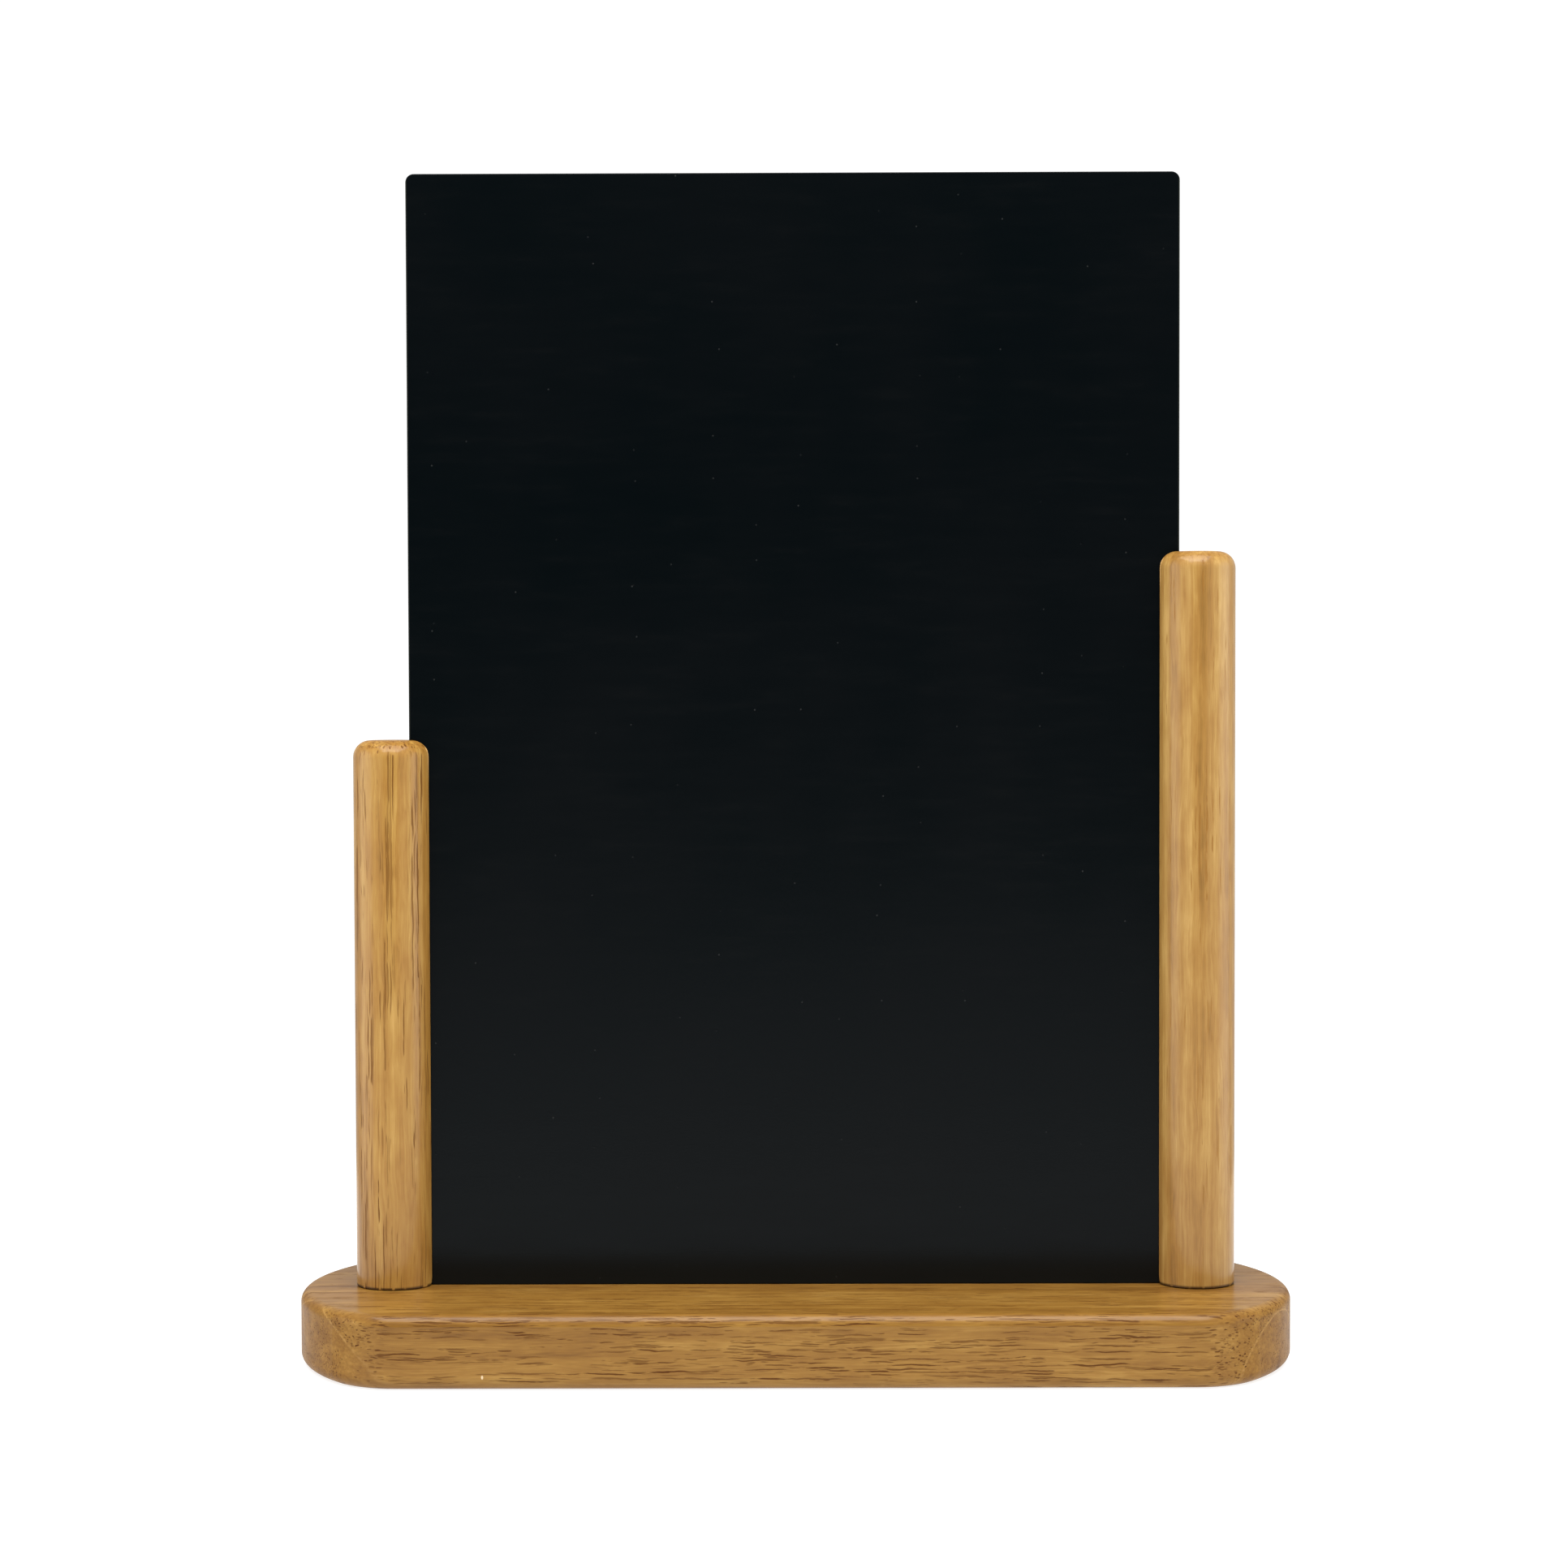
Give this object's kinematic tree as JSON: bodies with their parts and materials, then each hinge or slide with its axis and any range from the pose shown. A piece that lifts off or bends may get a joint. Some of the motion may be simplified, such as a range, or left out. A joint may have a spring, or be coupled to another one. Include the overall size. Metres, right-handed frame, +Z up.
{
  "type": "table-top menu chalkboard",
  "caption": "Table-top menu board: a black writing board stands loose in the slots of a short and a tall round wooden post on a rounded hardwood base, and lifts out upwards.",
  "frame": {"origin": "centre of the base's underside, on the surface that the object stands on", "axes": "+Z up; -Y is the front; +X runs from the short post to the tall post, to the viewer's right"},
  "size_m": [0.2706, 0.09, 0.3229],
  "materials": {
    "hardwood": "honey-stained open-pored hardwood under satin clear lacquer",
    "black_board": "smooth black writing surface with a low sheen",
    "screw_steel": "zinc-plated wood screw"
  },
  "bodies": {
    "stand": {"base": "hardwood", "short_post": "hardwood", "tall_post": "hardwood", "short_post_screw": "screw_steel", "tall_post_screw": "screw_steel"},
    "board": {"chalkboard": "black_board"}
  },
  "joints": [
    {"name": "board_lift", "type": "slide", "parent": "stand", "child": "board", "axis": [0, 0, 1], "range_m": [0, 0.21]}
  ]
}
